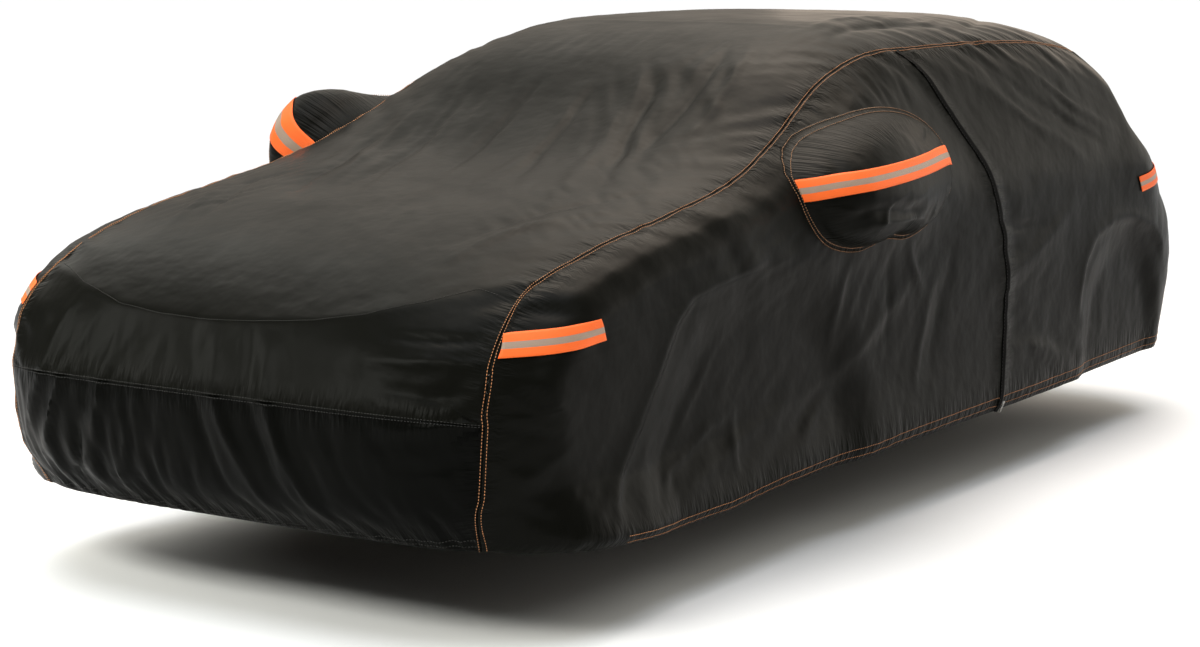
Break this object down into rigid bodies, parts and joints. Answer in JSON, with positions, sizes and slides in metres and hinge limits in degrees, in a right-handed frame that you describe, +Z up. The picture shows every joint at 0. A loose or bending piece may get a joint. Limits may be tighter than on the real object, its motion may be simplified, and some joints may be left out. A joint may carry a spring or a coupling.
{
  "type": "fitted cloth car cover",
  "caption": "Fitted cloth cover for a hatchback car: top and side panels with an open hem below, mirror pockets, reflective strips and a zip in the side.",
  "frame": {"origin": "the mount roof_rest, under the middle of the roof, where the cloth rests on what it covers", "axes": "+Z up, the front of the cover faces -Y, the cover's own left side (with the zip) is +X; the ground under the covered car is at z = -1.480"},
  "size_m": [2.1405, 4.5285, 1.2838],
  "materials": {
    "cloth": "dark coated polyester with a soft sheen",
    "tape": "orange tape with a grey reflective middle",
    "zip": "black zip tape under a folded flap",
    "metal": "satin metal"
  },
  "bodies": {
    "root": {"top_panel": "cloth", "front_skirt": "cloth", "side_left_front": "cloth", "side_left_rear": "cloth", "side_right": "cloth", "mirror_pocket_left": "cloth", "mirror_pocket_right": "cloth", "strip_front_left": "tape", "strip_front_right": "tape", "strip_mirror_left": "tape", "strip_mirror_right": "tape", "strip_rear_left": "tape", "strip_rear_right": "tape", "zip_left": "zip", "zip_pull": "metal"}
  },
  "joints": []
}
